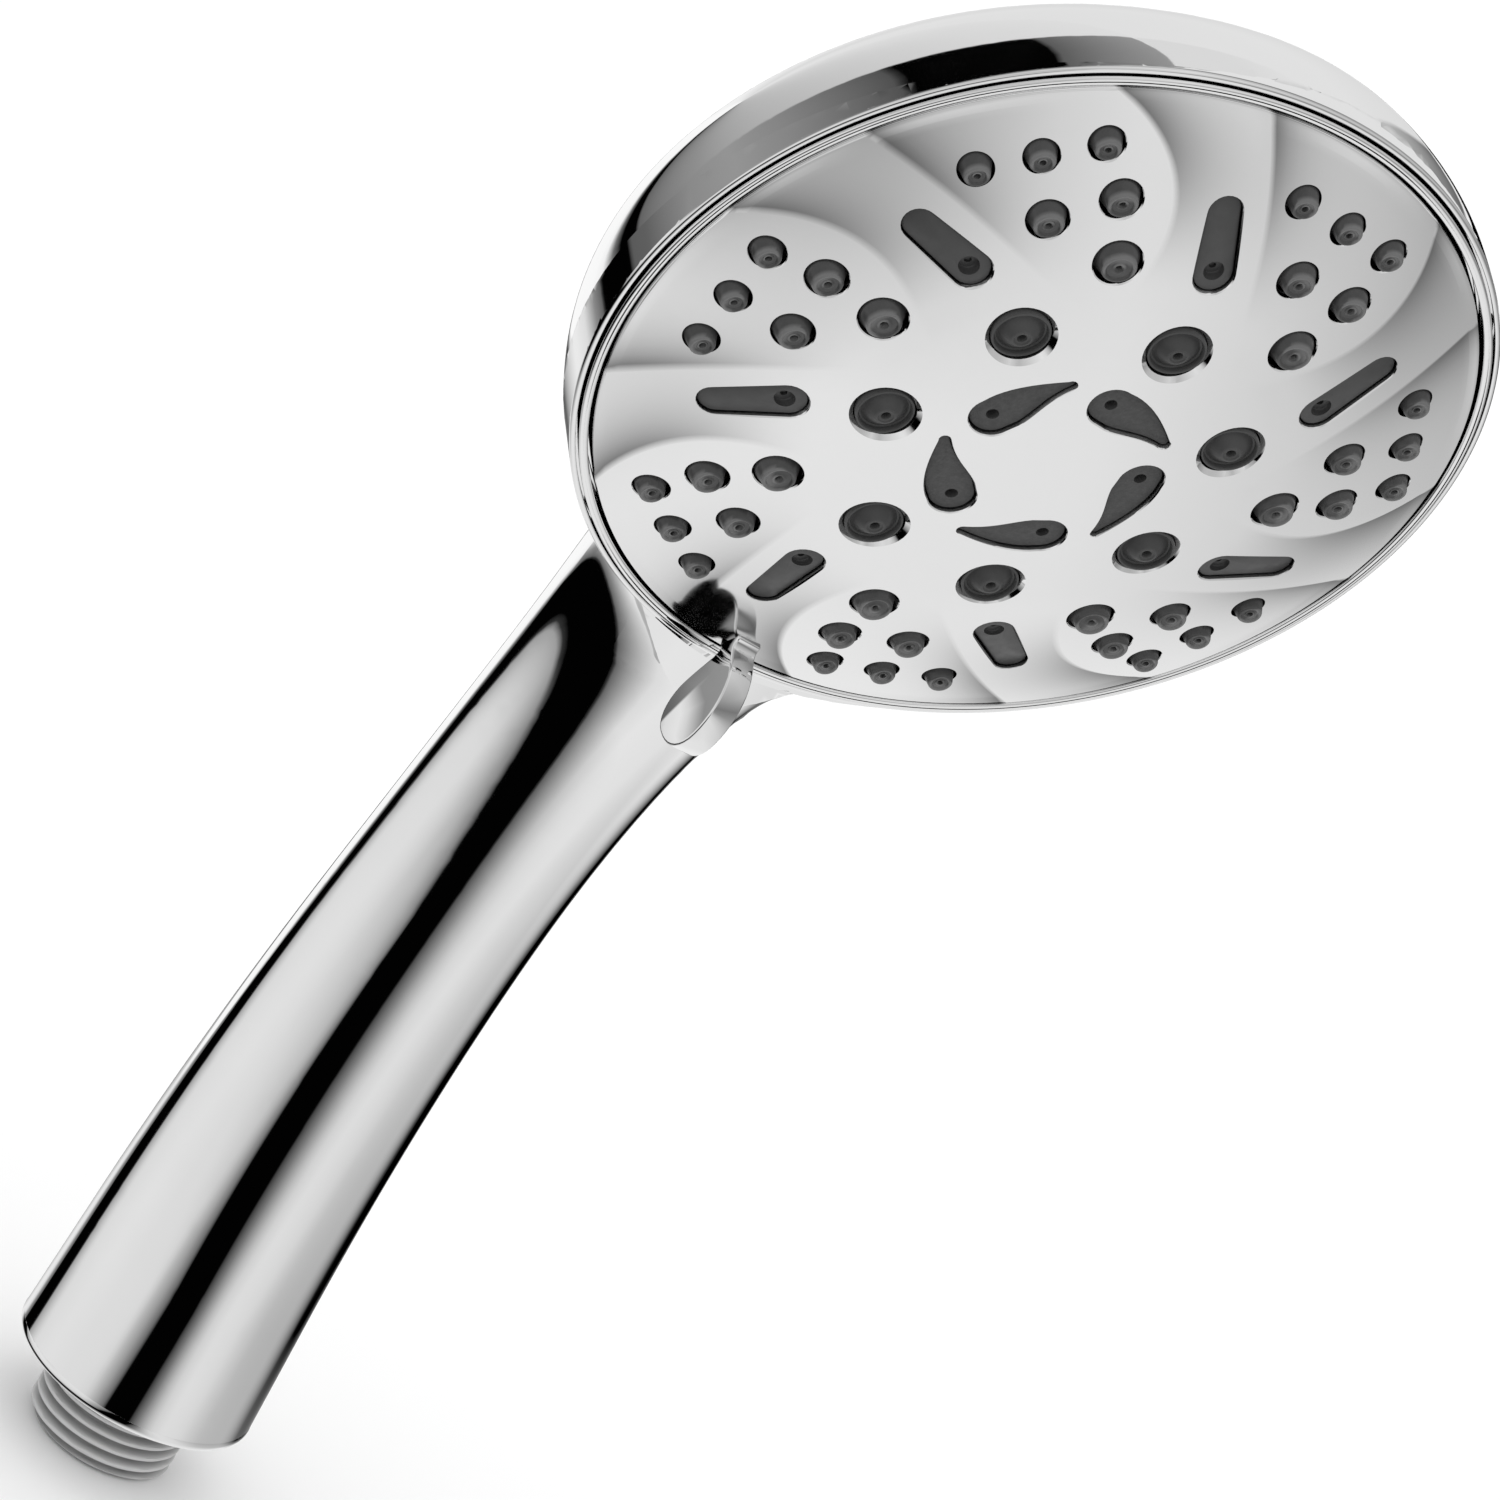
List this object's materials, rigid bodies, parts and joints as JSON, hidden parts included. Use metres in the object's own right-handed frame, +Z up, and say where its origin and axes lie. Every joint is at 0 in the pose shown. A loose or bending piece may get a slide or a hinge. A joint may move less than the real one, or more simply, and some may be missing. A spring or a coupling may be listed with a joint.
{
  "type": "handheld shower head",
  "caption": "Chromed handheld shower head with a round domed spray face, silicone nozzles, thumb lever and threaded inlet.",
  "frame": {"origin": "centre of the inlet thread's end face", "axes": "+Z up along the lower handle, the spray face looks towards -Y and 22 degrees down, X across the face"},
  "size_m": [0.1062, 0.1008, 0.2501],
  "materials": {
    "chrome": "polished chrome plate on ABS",
    "satin_chrome": "satin chrome plate on ABS",
    "silicone": "matt dark grey silicone",
    "grey_plastic": "matt grey moulded plastic",
    "white_plastic": "natural moulded plastic",
    "seal_rubber": "matt black rubber",
    "steel": "bright stainless steel"
  },
  "bodies": {
    "body": {"body_shell": "chrome", "rim_bezel": "chrome", "handle_core": "grey_plastic", "flow_restrictor": "grey_plastic", "inlet_elbow": "white_plastic", "manifold": "white_plastic", "end_o_ring": "seal_rubber", "restrictor_o_ring": "seal_rubber", "core_o_ring": "seal_rubber", "port_seal": "seal_rubber", "spindle_o_ring": "seal_rubber", "filter_screen": "steel", "port_spring": "steel", "detent_spring": "steel", "spindle_screw": "steel", "thrust_washer": "steel", "manifold_screw_1": "steel", "manifold_screw_2": "steel", "manifold_screw_3": "steel"},
    "spray_face": {"face_plate": "satin_chrome", "selector_lever": "chrome", "nozzle_mat": "silicone", "spray_plate": "white_plastic", "distributor_disc": "white_plastic", "face_o_ring": "seal_rubber", "mist_insert_1": "silicone", "mist_insert_2": "silicone", "mist_insert_3": "silicone", "mist_insert_4": "silicone", "mist_insert_5": "silicone", "mist_insert_6": "silicone", "mist_insert_7": "silicone"},
    "click_ball": {"detent_ball": "steel"}
  },
  "joints": [
    {"name": "face_turn", "type": "hinge", "parent": "body", "child": "spray_face", "pos_m": [0, -0.0637, 0.1981], "axis": [0, -0.9272, -0.3746], "range_deg": [-50, 70]},
    {"name": "ball_click", "type": "slide", "parent": "body", "child": "click_ball", "axis": [0, 0.9272, 0.3746], "range_m": [0, 0.0006], "stiffness_N_per_m": 500, "deforming": ["detent_spring"]}
  ]
}
